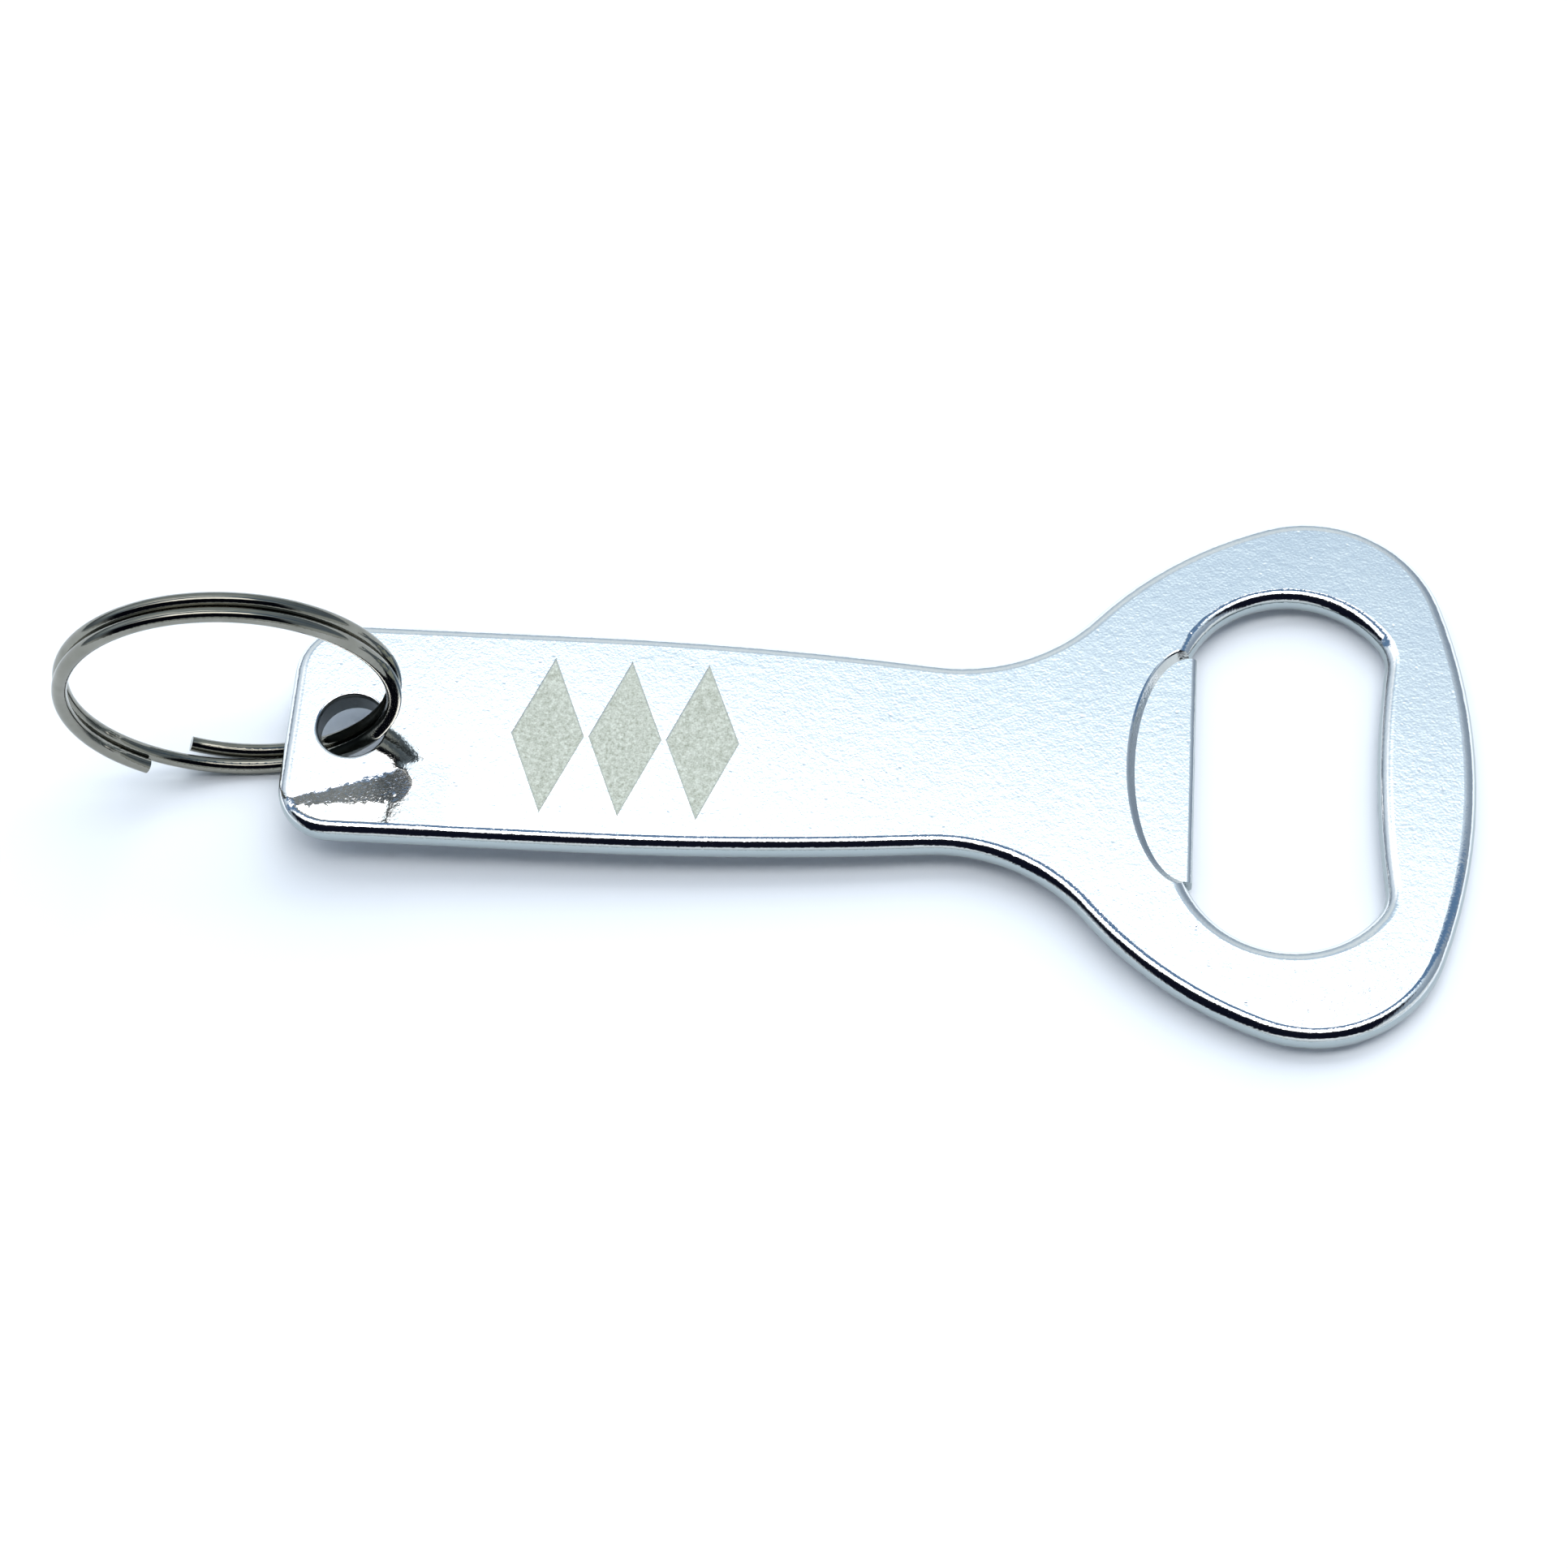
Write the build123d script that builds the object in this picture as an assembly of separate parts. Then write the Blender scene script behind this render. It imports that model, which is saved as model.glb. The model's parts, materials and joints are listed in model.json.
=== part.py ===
from build123d import *
from math import acos, asin, atan2, cos, degrees, hypot, pi, radians, sin, sqrt
import os

# Keychain bottle opener: a plated flat opener and the split ring through its hole, in mm.
# Both are drawn about the plate's middle plane: X runs from the ring end to the opener end,
# Z is up. Then the pair is laid on the table, with the ring under one end of the plate.

# Plate
LENGTH = 90.0
THICKNESS = 2.2
EDGE_R = 1.05
HANDLE_HALF = 9.2
HANDLE_FLANK_R = 290.0
END_CORNER_R = 4.3
NECK_HALF = 7.9
NECK_R = 14.0
SHOULDER_R = 30.5
SHOULDER_TURN = 109.0
HEAD_HALF = 22.1
HEAD_CORNER_R = 10.5
HEAD_END_R = 46.0

# Hole for the ring
HOLE_X = 5.1
HOLE_D = 5.2
HOLE_EDGE_R = 0.3

# Mouth that goes over the bottle cap
MOUTH_LEFT_X = 68.3
MOUTH_RIGHT_X = 82.65
MOUTH_BULGE_R = 76.0
MOUTH_TOP_X = 76.1
MOUTH_TOP_Y = 6.5
MOUTH_TOP_R = 8.2
MOUTH_CORNER_R = 3.0
MOUTH_HEEL_R = 2.5

# Thinner lip that hooks under the cap
LIP_X = 69.0
LIP_ROOT_X = 66.4
LIP_EDGE_R = 0.45
RECESS_DEPTH = 0.6
RECESS_X = 68.6
RECESS_REACH = 4.65
RECESS_HALF = 10.05
RECESS_SLOPE = 0.9
RECESS_EDGE_R = 0.25

# Etched lozenges on the handle
ETCH_DEPTH = 0.05
LOZENGE_LENGTH = 5.6
LOZENGE_WIDTH = 13.4
LOZENGE_PITCH = 5.9
LOZENGE_COUNT = 3
ETCH_X = 26.0

# Split ring: one wire wound almost twice
WIRE_D = 1.15
TURN_GAP = 0.04
RING_MEAN_R = 12.25
RING_TURNS = 704 / 360
RING_START = 23.0
END_SPREAD = 0.4
SPREAD_TURNS = 0.14
RING_CENTRE = (-2.84, -1.7, 9.0)
RING_YAW = 6.2
RING_LEAN = 0.9
RING_POINTS = 64


def point_at(centre, radius, angle):
    """The point of a circle at an angle in radians."""
    return (centre[0] + radius * cos(angle), centre[1] + radius * sin(angle))


def bearing(start, end):
    """The angle in radians from one point to another."""
    return atan2(end[1] - start[1], end[0] - start[0])


def middle_arc(centre, radius, start, end):
    """An arc between two points of its circle, by the shorter way round."""
    a = bearing(centre, start)
    turn = (bearing(centre, end) - a + pi) % (2 * pi) - pi
    return ThreePointArc(start, point_at(centre, radius, a + turn / 2), end)


def mirrored_wire(lines):
    """Edges on the +Y side and their mirror images, as one closed face."""
    half = Wire(lines)
    return make_face(Wire([*half.edges(), *mirror(half, Plane.XZ).edges()]))


def plate_outline():
    """The outline: straight handle, waisted neck and wide rounded head, all tangent."""
    end_c = (LENGTH - HEAD_END_R, 0)
    corner_y = HEAD_HALF - HEAD_CORNER_R
    corner_c = (end_c[0] + sqrt((HEAD_END_R - HEAD_CORNER_R) ** 2 - corner_y**2), corner_y)
    turn = radians(SHOULDER_TURN)
    shoulder_c = point_at(corner_c, HEAD_CORNER_R - SHOULDER_R, turn)
    neck_y = NECK_HALF + NECK_R
    span = SHOULDER_R + NECK_R
    neck_c = (shoulder_c[0] - sqrt(span**2 - (neck_y - shoulder_c[1]) ** 2), neck_y)
    flank_y = HANDLE_HALF - HANDLE_FLANK_R
    span = HANDLE_FLANK_R + NECK_R
    flank_c = (neck_c[0] - sqrt(span**2 - (neck_y - flank_y) ** 2), flank_y)
    tip = (LENGTH, 0)
    on_end = point_at(end_c, HEAD_END_R, bearing(end_c, corner_c))
    on_shoulder = point_at(shoulder_c, SHOULDER_R, turn)
    on_neck = point_at(shoulder_c, SHOULDER_R, bearing(shoulder_c, neck_c))
    on_flank = point_at(flank_c, HANDLE_FLANK_R, bearing(flank_c, neck_c))
    side_start = (flank_c[0], HANDLE_HALF)
    corner_side = (END_CORNER_R, HANDLE_HALF)
    corner_end = (0, HANDLE_HALF - END_CORNER_R)
    corner_mid = (END_CORNER_R, HANDLE_HALF - END_CORNER_R)
    return mirrored_wire([
        middle_arc(end_c, HEAD_END_R, tip, on_end),
        middle_arc(corner_c, HEAD_CORNER_R, on_end, on_shoulder),
        middle_arc(shoulder_c, SHOULDER_R, on_shoulder, on_neck),
        middle_arc(neck_c, NECK_R, on_neck, on_flank),
        middle_arc(flank_c, HANDLE_FLANK_R, on_flank, side_start),
        Line(side_start, corner_side),
        middle_arc(corner_mid, END_CORNER_R, corner_side, corner_end),
        Line(corner_end, (0, 0)),
    ])


def mouth_outline():
    """The mouth: round at both ends, straight on the lip's side, slightly bowed opposite."""
    top_c = (MOUTH_TOP_X, MOUTH_TOP_Y)
    bulge_c = (MOUTH_RIGHT_X + MOUTH_BULGE_R, 0)
    near = MOUTH_TOP_R - MOUTH_CORNER_R
    far = MOUTH_BULGE_R + MOUTH_CORNER_R
    apart = hypot(bulge_c[0] - top_c[0], bulge_c[1] - top_c[1])
    swing = acos((near**2 + apart**2 - far**2) / (2 * near * apart))
    corner_c = point_at(top_c, near, bearing(top_c, bulge_c) + swing)
    on_top = point_at(top_c, MOUTH_TOP_R, bearing(top_c, corner_c))
    on_bulge = point_at(bulge_c, MOUTH_BULGE_R, bearing(bulge_c, corner_c))
    reach = MOUTH_TOP_R - MOUTH_HEEL_R
    heel_x = MOUTH_LEFT_X + MOUTH_HEEL_R
    heel_c = (heel_x, MOUTH_TOP_Y + sqrt(reach**2 - (MOUTH_TOP_X - heel_x) ** 2))
    on_heel = point_at(top_c, MOUTH_TOP_R, bearing(top_c, heel_c))
    on_left = (MOUTH_LEFT_X, heel_c[1])
    crown = (MOUTH_TOP_X, MOUTH_TOP_Y + MOUTH_TOP_R)
    return mirrored_wire([
        middle_arc(bulge_c, MOUTH_BULGE_R, (MOUTH_RIGHT_X, 0), on_bulge),
        middle_arc(corner_c, MOUTH_CORNER_R, on_bulge, on_top),
        ThreePointArc(on_top, crown, on_heel),
        middle_arc(heel_c, MOUTH_HEEL_R, on_heel, on_left),
        Line(on_left, (MOUTH_LEFT_X, 0)),
    ])


def rounded_blank():
    """The plate with its mouth and hole, and every edge rounded over."""
    half = THICKNESS / 2
    blank = extrude(plate_outline(), half, both=True)
    blank -= extrude(mouth_outline(), THICKNESS, both=True)
    rims = blank.faces().filter_by(Axis.Z).edges()
    blank = fillet(rims, EDGE_R)
    blank -= Pos(HOLE_X, 0, 0) * Cylinder(HOLE_D / 2, 2 * THICKNESS)
    hole_rims = blank.edges().filter_by(GeomType.CIRCLE).filter_by(
        lambda e: abs(e.radius - HOLE_D / 2) < 1e-6
    )
    return fillet(hole_rims, HOLE_EDGE_R)


def recess_tool():
    """The half-oval step that thins the plate behind the lip, with sloping sides that round over."""
    top = THICKNESS / 2
    slope = RECESS_SLOPE * RECESS_DEPTH
    at = Pos(RECESS_X, 0, 0)
    low = at * Pos(0, 0, top - RECESS_DEPTH) * Ellipse(RECESS_REACH - slope, RECESS_HALF - slope)
    high = at * Pos(0, 0, top + RECESS_DEPTH) * Ellipse(RECESS_REACH + slope, RECESS_HALF + slope)
    above = at * Pos(0, 0, top + THICKNESS / 2) * Box(4 * RECESS_REACH, 4 * RECESS_HALF, THICKNESS)
    tool = loft([low.face(), high.face()]) + above
    rim = tool.edges().filter_by(
        lambda e: abs(e.center().Z - top) < 1e-6 and e.geom_type != GeomType.LINE
    )
    return fillet(rim, RECESS_EDGE_R)


def lip_tab():
    """The lip's own edge, standing a little further into the mouth, from wall to wall."""
    low = -THICKNESS / 2
    high = THICKNESS / 2 - RECESS_DEPTH
    slope = RECESS_SLOPE * RECESS_DEPTH
    width = LIP_X - LIP_ROOT_X
    at = Pos((LIP_X + LIP_ROOT_X) / 2, 0, (low + high) / 2)
    tab = at * Box(width, 2 * RECESS_HALF, high - low)
    front = tab.faces().sort_by(Axis.X)[-1]
    tab = fillet(front.edges().filter_by(Axis.Y), LIP_EDGE_R)
    floor = Pos(RECESS_X, 0, 0) * Ellipse(RECESS_REACH - slope, RECESS_HALF - slope)
    return tab & extrude(floor, THICKNESS, both=True)


def lozenges():
    """Three shallow upright lozenges in a row, as a plain etched pattern."""
    top = THICKNESS / 2
    points = [
        (-LOZENGE_LENGTH / 2, 0),
        (0, LOZENGE_WIDTH / 2),
        (LOZENGE_LENGTH / 2, 0),
        (0, -LOZENGE_WIDTH / 2),
    ]
    one = make_face(Polyline(*points, close=True))
    spots = GridLocations(LOZENGE_PITCH, 1, LOZENGE_COUNT, 1)
    at = Pos(ETCH_X, 0, top - ETCH_DEPTH)
    return [extrude(at * spot * one, 2 * ETCH_DEPTH) for spot in spots]


def opener():
    """The one-piece opener plate."""
    plate = rounded_blank() - recess_tool() + lip_tab()
    for mark in lozenges():
        plate -= mark
    return plate


def ring_point(turns):
    """The wire's centre after some turns: level over most of a turn, stepping at the ends."""
    step = WIRE_D + TURN_GAP
    angle = 2 * pi * turns - radians(RING_START)
    spread = END_SPREAD * max(0, 1 - turns / SPREAD_TURNS) ** 2
    side = step * (1 - turns + sin(2 * pi * (turns - 0.5)) / (2 * pi)) + spread
    return (RING_MEAN_R * sin(angle), side, -RING_MEAN_R * cos(angle))


def split_ring():
    """The ring in its own standing plane XZ, with both wire ends cut square."""
    points = [ring_point(RING_TURNS * i / RING_POINTS) for i in range(RING_POINTS + 1)]
    path = Spline(*points)
    section = Plane(path @ 0, z_dir=path % 0) * Circle(WIRE_D / 2)
    return sweep(section, path)


def table_tilt():
    """The tilt that brings the ring's foot and the head's edge to one level."""
    foot_r = RING_MEAN_R + WIRE_D / 2
    heel = (LENGTH - EDGE_R, EDGE_R - THICKNESS / 2)
    run = heel[0] - RING_CENTRE[0]
    rise = RING_CENTRE[2] - heel[1]
    return degrees(asin((foot_r - EDGE_R) / hypot(run, rise)) - atan2(rise, run))


def main():
    """Builds the two parts, lays them on the table and prints their key places."""
    ring_at = Pos(*RING_CENTRE) * Rot(0, 0, RING_YAW) * Rot(RING_LEAN, 0, 0)
    tilt = Rot(0, table_tilt(), 0)
    plate = tilt * opener()
    ring = tilt * ring_at * split_ring()
    box = Compound([plate, ring]).bounding_box()
    middle = box.center()
    lay = Pos(-middle.X, -middle.Y, -box.min.Z)
    os.makedirs("parts", exist_ok=True)
    export_step(lay * plate, "parts/opener_plate.step")
    export_step(lay * ring, "parts/split_ring.step")
    reach = sqrt(RING_MEAN_R**2 - RING_CENTRE[2] ** 2)
    swing = Plane(lay * tilt * ring_at * Pos(reach, 0, -RING_CENTRE[2]) * Rot(90, 0, 0))
    mouth = Plane(lay * tilt * Pos(MOUTH_TOP_X, 0, 0))
    loop = Plane(lay * tilt * ring_at)
    print("tilt", table_tilt(), "clearance", plate.distance_to(ring))
    print("swing", swing.origin, swing.z_dir)
    print("mouth", mouth.origin, mouth.z_dir)
    print("loop centre", loop.origin)
    print("plate end", (lay * tilt).position)


main()
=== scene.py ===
import bpy
import json
from math import cos, radians, sin
from mathutils import Matrix, Vector


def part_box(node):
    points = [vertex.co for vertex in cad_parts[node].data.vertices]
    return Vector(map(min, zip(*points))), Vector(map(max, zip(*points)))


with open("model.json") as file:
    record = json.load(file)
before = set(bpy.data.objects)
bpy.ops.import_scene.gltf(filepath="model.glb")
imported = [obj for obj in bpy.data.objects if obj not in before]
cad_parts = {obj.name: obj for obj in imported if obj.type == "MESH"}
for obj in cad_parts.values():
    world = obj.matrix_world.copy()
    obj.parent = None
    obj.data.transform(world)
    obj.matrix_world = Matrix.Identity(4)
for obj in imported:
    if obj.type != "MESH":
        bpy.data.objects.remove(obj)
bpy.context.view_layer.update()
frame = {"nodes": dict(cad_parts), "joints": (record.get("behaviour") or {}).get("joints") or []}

MM = 0.001

# Camera: azimuth 0 looks along +Y, and it aims near the middle of the footprint
VIEW_AZIMUTH = radians(-10.954)
VIEW_ELEVATION = radians(61.921)
VIEW_ROLL = radians(-7.746)
VIEW_DISTANCE = 275.32 * MM
AIM = Vector((0.915, -2.69, 2.615)) * MM
SENSOR = 36.0
LENS = 83.85
CLIP_START = 10 * MM

# Studio: what the bright metal reflects. Each wall is a list of (degrees above the floor, colour)
CEILING = (3.2, 3.2, 3.2)
FAR_WALL = (
    (0, (0.30, 0.38, 0.43)),
    (10, (0.42, 0.52, 0.60)),
    (20, (0.50, 0.60, 0.68)),
    (30, (0.66, 0.74, 0.78)),
    (44, (0.70, 0.78, 0.82)),
    (51, (0.50, 0.61, 0.70)),
    (56, (0.51, 0.66, 0.81)),
    (58, (0.60, 0.76, 0.90)),
    (60, (0.77, 0.93, 1.04)),
    (62, (0.99, 1.15, 1.25)),
    (64, (1.40, 1.50, 1.55)),
    (67, CEILING),
)
RIGHT_WALL = (
    (0, (0.28, 0.34, 0.40)),
    (12, (0.24, 0.30, 0.37)),
    (30, (0.27, 0.34, 0.42)),
    (47, (0.40, 0.48, 0.56)),
    (56, (0.56, 0.68, 0.80)),
    (62, (0.95, 1.10, 1.18)),
    (67, CEILING),
)
LEFT_WALL = (
    (0, (0.18, 0.22, 0.27)),
    (8, (0.22, 0.27, 0.33)),
    (15, (0.42, 0.50, 0.58)),
    (24, (0.60, 0.70, 0.80)),
    (36, (0.72, 0.82, 0.90)),
    (44, (1.20, 1.25, 1.30)),
    (56, (1.60, 1.65, 1.70)),
    (67, CEILING),
)
# The far wall reads as this much higher across these azimuths, so it is brighter on the left
LEFT_LIFT = (17.0, -13.0, -0.4, 3.0)
# Azimuths over which the far wall turns into each side wall
TO_RIGHT = (18.0, 50.0)
TO_LEFT = (-18.0, -45.0)
# A dark gap in the ceiling, in degrees over the head from the far side
GAP_ANGLES = (68.0, 71.0, 82.0, 85.0)
GAP_LIGHT = (0.10, 0.19, 0.33)
# The person at the camera, in degrees about the line of sight, and the room behind
SITTER_UP = (-41.0, -35.0, 13.0, 16.0)
SITTER_ACROSS = (-80.0, -62.0, 36.0, 48.0)
SITTER_LIGHT = (0.004, 0.005, 0.012)
BEHIND_SITTER = (0.70, 0.77, 0.81)
BEHIND_ANGLES = (140.0, 156.0)
ROOM_ON_FLOOR = 1.5

# Key light, soft, from beyond the far right
KEY_AZIMUTH = radians(34)
KEY_ELEVATION = radians(45)
KEY_SPREAD = radians(60)
KEY_STRENGTH = 1.9
KEY_COLOUR = (1.0, 0.98, 0.95)

# Floor, with its half width in metres
FLOOR_HALF = 3.0
FLOOR_COLOUR = (0.79, 0.83, 0.88, 1)
FLOOR_ROUGHNESS = 0.9

# The plate leans on the ring; places on it are in mm from its ring end at mid-thickness
PLATE_TILT = radians(1.7037)
PLATE_THICKNESS = 2.2
FACE_LEVEL = 1.0
HOLE_X = 5.1
HOLE_R = 2.6
HOLE_BLEND = (0.22, 0.08)
ETCH_X = 26.0
ETCH_PITCH = 5.9
ETCH_COUNT = 3
ETCH_LENGTH = 5.6
ETCH_WIDTH = 13.4

# Plating: sizes and heights in mm
PLATING_DARK = (0.84, 0.855, 0.88, 1)
PLATING_LIGHT = (0.95, 0.95, 0.945, 1)
PLATING_ROUGHNESS = 0.08
ROUGHNESS_CLOUD = 0.04
CLOUD_SIZE = 4.0
MOTTLE_SIZES = (0.35, 0.15)
# Darker base colour on the upright rims: painted shade standing in for the shaded floor they reflect
EDGE_PAINTED_SHADE = (0.38, 0.43, 0.44, 1)
EDGE_UPRIGHT = (0.68, 0.50)
# Dark base colour inside the ring's hole: painted shade; the roughness there is the dull plating
HOLE_PAINTED_SHADE = (0.13, 0.145, 0.15, 1)
HOLE_ROUGHNESS = 0.35
WAVE, PEEL, GRAIN = (3.0, 0.004), (0.7, 0.009), (0.19, 0.008)
SPECK_SIZE = 0.9
SPECK_SHARE = 0.22
SPECK_REACH = 0.22
SPECK_HEIGHT = -0.007

# Etched lozenges: dull, sandy and a little bluer along the outline
ETCH_DARK = (0.30, 0.32, 0.26, 1)
ETCH_LIGHT = (0.61, 0.65, 0.59, 1)
ETCH_RIM_COLOUR = (0.34, 0.38, 0.37, 1)
ETCH_EDGE = (1.0, 0.985)
ETCH_RIM = (0.93, 1.0)
ETCH_GRAIN_SIZES = (0.13, 0.3)
ETCH_CONTRAST = 1.5
ETCH_DULLING = 0.9
ETCH_ROUGHNESS = 0.7
ETCH_BUMP = (0.12, 0.020)

# The worn face beside the hole, in mm and slopes: a band that leans toward the near edge,
# and the ground around it that leans toward the head
WORN_LINE = 7.07
WORN_SKEW = 0.22
WORN_WIDTH = (0.2, 0.135)
WORN_RAGGED = (0.5, 0.9)
WORN_BAND = (-1.5, -0.5, 0.85, 1.0)
WORN_REACH = (10.5, 10.0)
WORN_TIP = 0.9
WORN_SLOPE = 0.120
WORN_FALL = 0.029
WORN_GRAIN = (0.3, 0.06)
GROUND_SLOPE = 0.10
GROUND_ALONG = (8.4, 9.0, 12.5, 14.0)
GROUND_DOWN = (2.6, 3.2, 9.5, 10.0)

# Wire: sizes and heights in mm
NICKEL_DARK = (0.185, 0.18, 0.15, 1)
NICKEL_LIGHT = (0.32, 0.31, 0.27, 1)
NICKEL_ROUGHNESS = 0.08
NICKEL_CLOUD_SIZE = 1.6
MARK_SIZE = 0.12
MARK_STRETCH = 0.5
MARK_ROUGHNESS = 0.12
MARK_HEIGHT = 0.0014
WIRE_PEEL = (0.25, 0.0012)


class Graph:
    """Short calls for making and joining the nodes of one material or world."""

    def __init__(self, tree):
        self.tree = tree

    def node(self, kind, settings=(), **inputs):
        made = self.tree.nodes.new(kind)
        for name, value in dict(settings).items():
            setattr(made, name, value)
        for name, value in inputs.items():
            self.put(made, name.replace("_", " "), value)
        return made

    def put(self, node, name, value):
        """Sets or links an input by its name, or by i and its number."""
        socket = node.inputs[int(name[1:]) if name[0] == "i" and name[1:].isdigit() else name]
        if isinstance(value, bpy.types.NodeSocket):
            self.tree.links.new(value, socket)
        else:
            socket.default_value = value

    def math(self, operation, a, b=0.0, c=0.0):
        return self.node("ShaderNodeMath", {"operation": operation}, i0=a, i1=b, i2=c).outputs[0]

    def times(self, a, b):
        return self.math("MULTIPLY", a, b)

    def total(self, values):
        result = values[0]
        for value in values[1:]:
            result = self.math("ADD", result, value)
        return result

    def vector(self, operation, a, b=(0, 0, 0)):
        made = self.node("ShaderNodeVectorMath", {"operation": operation}, i0=a, i1=b)
        return made.outputs[1] if operation in ("DOT_PRODUCT", "LENGTH") else made.outputs[0]

    def point(self, x=0.0, y=0.0, z=0.0):
        return self.node("ShaderNodeCombineXYZ", X=x, Y=y, Z=z).outputs[0]

    def between(self, value, low, high, to_low=0.0, to_high=1.0):
        """A smooth step from one value to another."""
        settings = {"interpolation_type": "SMOOTHSTEP"}
        made = self.node("ShaderNodeMapRange", settings, Value=value, From_Min=low, From_Max=high,
                         To_Min=to_low, To_Max=to_high)
        return made.outputs[0]

    def window(self, value, edges):
        """1 between the two middle edges, 0 outside the outer ones."""
        rise = self.between(value, edges[0], edges[1])
        fall = self.between(value, edges[2], edges[3], 1.0, 0.0)
        return self.times(rise, fall)

    def mix(self, factor, a, b):
        return self.node("ShaderNodeMix", {"data_type": "RGBA"}, i0=factor, i6=a, i7=b).outputs[2]

    def ramp(self, value, stops):
        """A colour ramp through (place, colour) stops."""
        made = self.node("ShaderNodeValToRGB", Fac=value)
        elements = made.color_ramp.elements
        for index, (place, colour) in enumerate(stops):
            element = elements[index] if index < 2 else elements.new(place)
            element.position = place
            element.color = (*colour, 1)
        return made.outputs[0]

    def noise(self, vector, size):
        """Noise with features of about this size, around 0."""
        made = self.node("ShaderNodeTexNoise", Vector=vector, Scale=1 / size, Detail=2.0)
        return self.math("SUBTRACT", made.outputs[0], 0.5)

    def bump(self, vector, size, height):
        return self.times(self.noise(vector, size), height)

    def specks(self, vector):
        """Sparse round dimples: 1 at the middle of a few cells and 0 elsewhere."""
        cells = self.node("ShaderNodeTexVoronoi", Vector=vector, Scale=1 / SPECK_SIZE)
        near = self.between(cells.outputs["Distance"], SPECK_REACH, 0.0)
        pick = self.node("ShaderNodeSeparateColor", Color=cells.outputs["Color"]).outputs[0]
        return self.times(near, self.math("LESS_THAN", pick, SPECK_SHARE))

    def local(self, origin, axes):
        """Row coordinates in mm from an origin: along each of some directions, and as a vector."""
        where = self.node("ShaderNodeTexCoord").outputs["Object"]
        away = self.vector("SUBTRACT", self.vector("MULTIPLY", where, (1 / MM, 1 / MM, 1 / MM)), origin)
        return [self.vector("DOT_PRODUCT", away, axis) for axis in axes], away


def view_axes():
    """The camera's level right, its level ahead and its line of sight, before the roll."""
    right = Vector((cos(VIEW_AZIMUTH), -sin(VIEW_AZIMUTH), 0))
    away = Vector((sin(VIEW_AZIMUTH), cos(VIEW_AZIMUTH), 0))
    return right, away, away * cos(VIEW_ELEVATION) - Vector((0, 0, sin(VIEW_ELEVATION)))


def add_camera():
    data = bpy.data.cameras.new("camera")
    data.sensor_width = SENSOR
    data.lens = LENS
    data.clip_start = CLIP_START
    camera = bpy.data.objects.new("camera", data)
    bpy.context.scene.collection.objects.link(camera)
    right, _, ahead = view_axes()
    up = right.cross(ahead)
    turned_right = cos(VIEW_ROLL) * right + sin(VIEW_ROLL) * up
    turned_up = cos(VIEW_ROLL) * up - sin(VIEW_ROLL) * right
    place = Matrix((turned_right, turned_up, -ahead)).transposed().to_4x4()
    place.translation = AIM - ahead * VIEW_DISTANCE
    camera.matrix_world = place
    bpy.context.scene.camera = camera


def wall(graph, elevation, stops):
    """A wall's colour by the angle above the floor."""
    return graph.ramp(graph.math("DIVIDE", elevation, 90.0), [(a / 90, c) for a, c in stops])


def add_studio():
    """A white overhead light that fades to dim walls, with the person at the camera in the dark."""
    world = bpy.data.worlds.new("studio")
    bpy.context.scene.world = world
    world.use_nodes = True
    g = Graph(world.node_tree)
    background = world.node_tree.nodes["Background"]
    direction = g.node("ShaderNodeTexCoord").outputs["Generated"]
    right, away, ahead = view_axes()

    def along(axis):
        return g.vector("DOT_PRODUCT", direction, axis)

    def angle(a, b):
        return g.math("DEGREES", g.math("ARCTAN2", a, b))

    height = along((0, 0, 1))
    sideways = along(right)
    outward = along(away)
    elevation = g.math("DEGREES", g.math("ARCSINE", height))
    azimuth = angle(sideways, outward)
    sky = wall(g, g.math("ADD", elevation, g.between(azimuth, *LEFT_LIFT)), FAR_WALL)
    sky = g.mix(g.between(azimuth, *TO_RIGHT), sky, wall(g, elevation, RIGHT_WALL))
    sky = g.mix(g.between(azimuth, *TO_LEFT), sky, wall(g, elevation, LEFT_WALL))
    over = angle(height, outward)
    sky = g.mix(g.between(over, *BEHIND_ANGLES), sky, (*BEHIND_SITTER, 1))
    sky = g.mix(g.window(over, GAP_ANGLES), sky, (*GAP_LIGHT, 1))
    side = angle(sideways, along(-ahead))
    rise = g.math("DEGREES", g.math("ARCSINE", along(right.cross(ahead))))
    sitter = g.times(g.window(rise, SITTER_UP), g.window(side, SITTER_ACROSS))
    sky = g.mix(sitter, sky, (*SITTER_LIGHT, 1))
    path = g.node("ShaderNodeLightPath")
    strength = g.between(path.outputs["Is Diffuse Ray"], 0.0, 1.0, 1.0, ROOM_ON_FLOOR)
    g.put(background, "Strength", strength)
    g.put(background, "Color", g.mix(path.outputs["Is Camera Ray"], sky, (1, 1, 1, 1)))
    bpy.context.scene.view_settings.view_transform = "Standard"


def add_key_light():
    data = bpy.data.lights.new("key", "SUN")
    data.energy = KEY_STRENGTH
    data.angle = KEY_SPREAD
    data.color = KEY_COLOUR
    key = bpy.data.objects.new("key", data)
    bpy.context.scene.collection.objects.link(key)
    level = cos(KEY_ELEVATION)
    place = Vector((sin(KEY_AZIMUTH) * level, cos(KEY_AZIMUTH) * level, sin(KEY_ELEVATION)))
    key.rotation_euler = place.to_track_quat("Z", "Y").to_euler()
    key.visible_glossy = False


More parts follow.
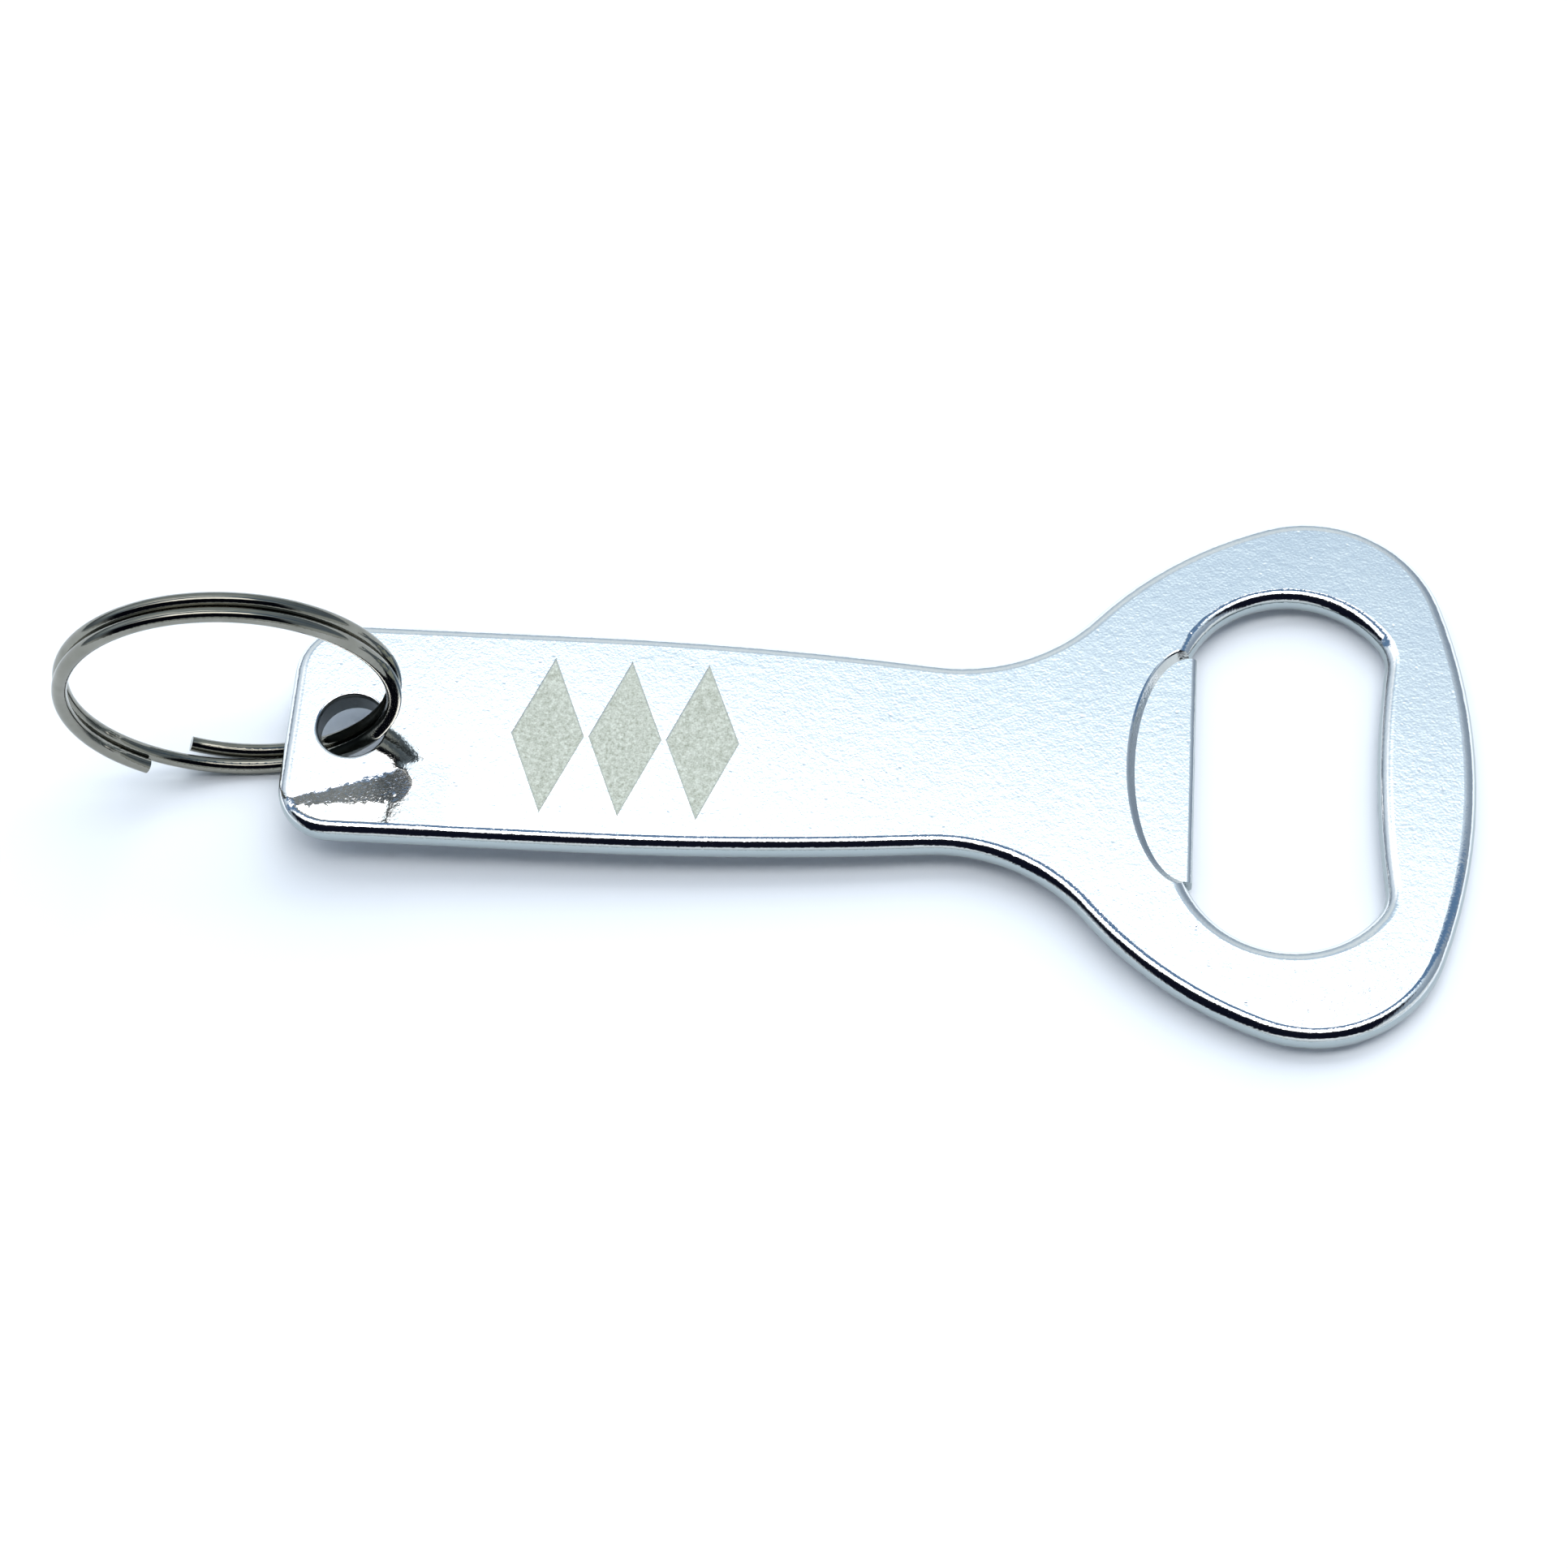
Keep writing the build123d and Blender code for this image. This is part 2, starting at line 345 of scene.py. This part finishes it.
def add_floor():
    mesh = bpy.data.meshes.new("floor")
    low, high = -FLOOR_HALF, FLOOR_HALF
    corners = [(low, low, 0), (high, low, 0), (high, high, 0), (low, high, 0)]
    mesh.from_pydata(corners, [], [(0, 1, 2, 3)])
    floor = bpy.data.objects.new("floor", mesh)
    bpy.context.scene.collection.objects.link(floor)
    material, _, shader = new_material("white_paper")
    shader.inputs["Base Color"].default_value = FLOOR_COLOUR
    shader.inputs["Roughness"].default_value = FLOOR_ROUGHNESS
    shader.inputs["Specular IOR Level"].default_value = 0.0
    mesh.materials.append(material)


def new_material(name):
    material = bpy.data.materials.new(name)
    material.use_nodes = True
    return material, Graph(material.node_tree), material.node_tree.nodes["Principled BSDF"]


def lozenge_field(g, along, across):
    """0 at the middle of each etched lozenge and 1 on its outline."""
    first = ETCH_X - ETCH_PITCH * ETCH_COUNT / 2
    step = g.math("FLOOR", g.math("DIVIDE", g.math("SUBTRACT", along, first), ETCH_PITCH))
    index = g.math("MINIMUM", g.math("MAXIMUM", step, 0.0), ETCH_COUNT - 1.0)
    middle = g.math("MULTIPLY_ADD", index, ETCH_PITCH, first + ETCH_PITCH / 2)
    off = g.math("ABSOLUTE", g.math("SUBTRACT", along, middle))
    tall = g.math("DIVIDE", g.math("ABSOLUTE", across), ETCH_WIDTH / 2)
    return g.math("MULTIPLY_ADD", off, 2 / ETCH_LENGTH, tall)


def worn_lean(g, along, across, spot):
    """How far the face leans beside the hole: toward its near edge, and toward the head."""
    down = g.times(across, -1.0)
    line = g.math("SUBTRACT", g.math("MULTIPLY_ADD", along, WORN_SKEW, down), WORN_LINE)
    half = g.math("MULTIPLY_ADD", along, WORN_WIDTH[1], WORN_WIDTH[0])
    ragged = g.math("ADD", g.bump(spot, *WORN_RAGGED), line)
    place = g.math("DIVIDE", ragged, half)
    tip = g.math("MULTIPLY_ADD", g.times(place, place), WORN_TIP, along)
    band = g.times(g.window(place, WORN_BAND), g.between(tip, *WORN_REACH))
    slope = g.math("MULTIPLY_ADD", line, -WORN_FALL, WORN_SLOPE)
    slope = g.math("ADD", slope, g.bump(spot, *WORN_GRAIN))
    near = g.times(g.times(slope, band), -1.0)
    ground = g.times(g.window(down, GROUND_DOWN), g.window(along, GROUND_ALONG))
    ground = g.times(ground, g.math("SUBTRACT", 1.0, band))
    return g.point(x=g.times(ground, GROUND_SLOPE), y=near)


def bright_plating():
    """Mirror plating with a fine grain, dull where it is etched and inside the ring's hole, with
    painted shade on its upright rims and a dark painted shade inside the hole.
    """
    material, g, shader = new_material("bright_plating")
    low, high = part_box("opener_plate")
    end = Vector((low.x / MM, 0, high.z / MM - PLATE_THICKNESS / 2))
    level, lift = cos(PLATE_TILT), sin(PLATE_TILT)
    axes = ((level, 0, -lift), (0, 1, 0), (lift, 0, level))
    (along, across, up), spot = g.local(end, axes)
    on_face = g.math("GREATER_THAN", up, FACE_LEVEL)
    field = lozenge_field(g, along, across)
    etched = g.times(g.between(field, *ETCH_EDGE), on_face)
    rim = g.times(g.between(field, *ETCH_RIM), etched)
    from_hole = g.vector("LENGTH", g.point(x=g.math("SUBTRACT", along, HOLE_X), y=across))
    in_hole = g.between(from_hole, HOLE_R + HOLE_BLEND[0], HOLE_R + HOLE_BLEND[1])
    normal = g.node("ShaderNodeNewGeometry").outputs["Normal"]
    upright = g.math("ABSOLUTE", g.vector("DOT_PRODUCT", normal, (0, 0, 1)))

    cloud = g.noise(spot, CLOUD_SIZE)
    mottle = g.total([cloud] + [g.noise(spot, size) for size in MOTTLE_SIZES])
    plated = g.mix(g.math("ADD", mottle, 0.5), PLATING_DARK, PLATING_LIGHT)
    # Painted shade: the upright rims get a darker base colour
    plated = g.mix(g.between(upright, *EDGE_UPRIGHT), plated, EDGE_PAINTED_SHADE)
    # Painted shade: a dark base colour inside the ring's hole
    plated = g.mix(in_hole, plated, HOLE_PAINTED_SHADE)
    sand = g.total([g.noise(spot, size) for size in ETCH_GRAIN_SIZES])
    matte = g.mix(g.math("MULTIPLY_ADD", sand, ETCH_CONTRAST, 0.5), ETCH_DARK, ETCH_LIGHT)
    matte = g.mix(rim, matte, ETCH_RIM_COLOUR)
    g.put(shader, "Base Color", g.mix(etched, plated, matte))
    g.put(shader, "Metallic", g.math("SUBTRACT", 1.0, g.times(etched, ETCH_DULLING)))
    smooth = g.math("MULTIPLY_ADD", cloud, ROUGHNESS_CLOUD, PLATING_ROUGHNESS)
    rough = g.math("MAXIMUM", smooth, g.times(etched, ETCH_ROUGHNESS))
    g.put(shader, "Roughness", g.math("MAXIMUM", rough, g.times(in_hole, HOLE_ROUGHNESS)))

    bumps = [g.bump(spot, *layer) for layer in (WAVE, PEEL, GRAIN)]
    bumps.append(g.times(g.specks(spot), SPECK_HEIGHT))
    bumps.append(g.times(g.bump(spot, *ETCH_BUMP), etched))
    lean = g.vector("MULTIPLY", worn_lean(g, along, across, spot), on_face)
    worn = g.vector("NORMALIZE", g.vector("ADD", normal, lean))
    finish = g.node("ShaderNodeBump", Strength=1.0, Distance=MM, Height=g.total(bumps), Normal=worn)
    g.put(shader, "Normal", finish.outputs[0])
    return material


def nickel_wire():
    """Slightly warm nickel with fine marks that run along the drawn wire."""
    material, g, shader = new_material("nickel_wire")
    shader.inputs["Metallic"].default_value = 1.0
    low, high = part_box("split_ring")
    axis = Vector(frame["joints"][0]["axis"]).normalized()
    out = Vector((1, 0, 0)).cross(axis).normalized()
    (side, tall, wide), spot = g.local((low + high) / (2 * MM), (axis, out, axis.cross(out)))
    radius = g.vector("LENGTH", g.point(x=tall, y=wide))
    turn = g.times(g.math("ARCTAN2", tall, wide), MARK_STRETCH)
    marks = g.noise(g.point(x=radius, y=side, z=turn), MARK_SIZE)
    cloud = g.math("ADD", g.noise(spot, NICKEL_CLOUD_SIZE), 0.5)
    g.put(shader, "Base Color", g.mix(cloud, NICKEL_DARK, NICKEL_LIGHT))
    g.put(shader, "Roughness", g.math("MULTIPLY_ADD", marks, MARK_ROUGHNESS, NICKEL_ROUGHNESS))
    height = g.math("ADD", g.times(marks, MARK_HEIGHT), g.bump(spot, *WIRE_PEEL))
    finish = g.node("ShaderNodeBump", Strength=1.0, Distance=MM, Height=height)
    g.put(shader, "Normal", finish.outputs[0])
    return material


def finish_node(name, material):
    mesh = frame["nodes"][name].data
    mesh.materials.clear()
    mesh.materials.append(material)


add_camera()
add_studio()
add_key_light()
add_floor()
finish_node("opener_plate", bright_plating())
finish_node("split_ring", nickel_wire())
